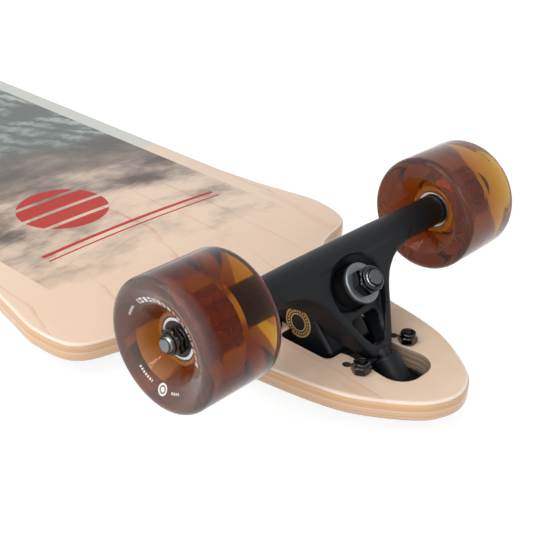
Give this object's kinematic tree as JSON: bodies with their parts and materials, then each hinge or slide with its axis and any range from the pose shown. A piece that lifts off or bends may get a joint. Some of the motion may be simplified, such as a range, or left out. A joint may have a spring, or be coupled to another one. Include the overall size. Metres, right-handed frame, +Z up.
{
  "type": "longboard skateboard",
  "caption": "Drop-through longboard lying upside down: maple deck, steering trucks with black hangers and kingpins, and clear amber wheels on bearings.",
  "frame": {"origin": "on the floor under the middle of the board, which lies upside down on the heads of its mounting bolts, as in the picture", "axes": "+X along the board towards its front truck, +Y across the board to the left of that direction, +Z up towards the wheels. Turn the part 180 degrees about X to stand it on its wheels"},
  "size_m": [1.02, 0.255, 0.1014],
  "materials": {
    "maple_ply": "clear lacquer",
    "grip_sheet": "gritty black sheet",
    "black_cast_aluminium": "satin black",
    "black_steel": "black oxide",
    "bare_steel": "ground",
    "black_bushing": "smooth urethane",
    "amber_wheel": "clear cast urethane",
    "amber_core": "clear moulded plastic"
  },
  "bodies": {
    "board": {"deck": "maple_ply", "grip_sheet": "grip_sheet", "baseplate_front": "black_cast_aluminium", "pivot_cup_front": "black_bushing", "road_bushing_front": "black_bushing", "board_bushing_front": "black_bushing", "kingpin_front": "black_steel", "kingpin_nut_front": "black_steel", "road_washer_front": "black_steel", "board_washer_front": "black_steel", "bolt_front_outer_right": "black_steel", "lock_nut_front_outer_right": "black_steel", "bolt_front_outer_left": "black_steel", "lock_nut_front_outer_left": "black_steel", "bolt_front_inner_right": "black_steel", "lock_nut_front_inner_right": "black_steel", "bolt_front_inner_left": "black_steel", "lock_nut_front_inner_left": "black_steel", "baseplate_rear": "black_cast_aluminium", "pivot_cup_rear": "black_bushing", "road_bushing_rear": "black_bushing", "board_bushing_rear": "black_bushing", "kingpin_rear": "black_steel", "kingpin_nut_rear": "black_steel", "road_washer_rear": "black_steel", "board_washer_rear": "black_steel", "bolt_rear_outer_right": "black_steel", "lock_nut_rear_outer_right": "black_steel", "bolt_rear_outer_left": "black_steel", "lock_nut_rear_outer_left": "black_steel", "bolt_rear_inner_right": "black_steel", "lock_nut_rear_inner_right": "black_steel", "bolt_rear_inner_left": "black_steel", "lock_nut_rear_inner_left": "black_steel"},
    "front_hanger": {"hanger_front": "black_cast_aluminium", "axle_front": "bare_steel", "axle_nut_front_left": "black_steel", "axle_nut_front_right": "black_steel"},
    "front_left_wheel": {"tyre_front_left": "amber_wheel", "core_front_left": "amber_core", "bearing_inner_front_left": "bare_steel", "bearing_outer_front_left": "bare_steel"},
    "front_right_wheel": {"tyre_front_right": "amber_wheel", "core_front_right": "amber_core", "bearing_inner_front_right": "bare_steel", "bearing_outer_front_right": "bare_steel"},
    "rear_hanger": {"hanger_rear": "black_cast_aluminium", "axle_rear": "bare_steel", "axle_nut_rear_left": "black_steel", "axle_nut_rear_right": "black_steel"},
    "rear_left_wheel": {"tyre_rear_left": "amber_wheel", "core_rear_left": "amber_core", "bearing_inner_rear_left": "bare_steel", "bearing_outer_rear_left": "bare_steel"},
    "rear_right_wheel": {"tyre_rear_right": "amber_wheel", "core_rear_right": "amber_core", "bearing_inner_rear_right": "bare_steel", "bearing_outer_rear_right": "bare_steel"}
  },
  "joints": [
    {"name": "front_steer", "type": "hinge", "parent": "board", "child": "front_hanger", "pos_m": [0.461, 0, 0.0216], "axis": [-0.6428, 0, 0.766], "range_deg": [-15, 15], "stiffness_Nm_per_rad": 25, "deforming": ["road_bushing_front", "board_bushing_front"]},
    {"name": "front_left_wheel_spin", "type": "hinge", "parent": "front_hanger", "child": "front_left_wheel", "pos_m": [0.42308, 0.103, 0.0668], "axis": [0, 1, 0], "continuous": true},
    {"name": "front_right_wheel_spin", "type": "hinge", "parent": "front_hanger", "child": "front_right_wheel", "pos_m": [0.42308, -0.103, 0.0668], "axis": [0, 1, 0], "continuous": true},
    {"name": "rear_steer", "type": "hinge", "parent": "board", "child": "rear_hanger", "pos_m": [-0.461, 0, 0.0216], "axis": [0.6428, 0, 0.766], "range_deg": [-15, 15], "stiffness_Nm_per_rad": 25, "deforming": ["road_bushing_rear", "board_bushing_rear"]},
    {"name": "rear_left_wheel_spin", "type": "hinge", "parent": "rear_hanger", "child": "rear_left_wheel", "pos_m": [-0.42308, 0.103, 0.0668], "axis": [0, 1, 0], "continuous": true},
    {"name": "rear_right_wheel_spin", "type": "hinge", "parent": "rear_hanger", "child": "rear_right_wheel", "pos_m": [-0.42308, -0.103, 0.0668], "axis": [0, 1, 0], "continuous": true}
  ]
}
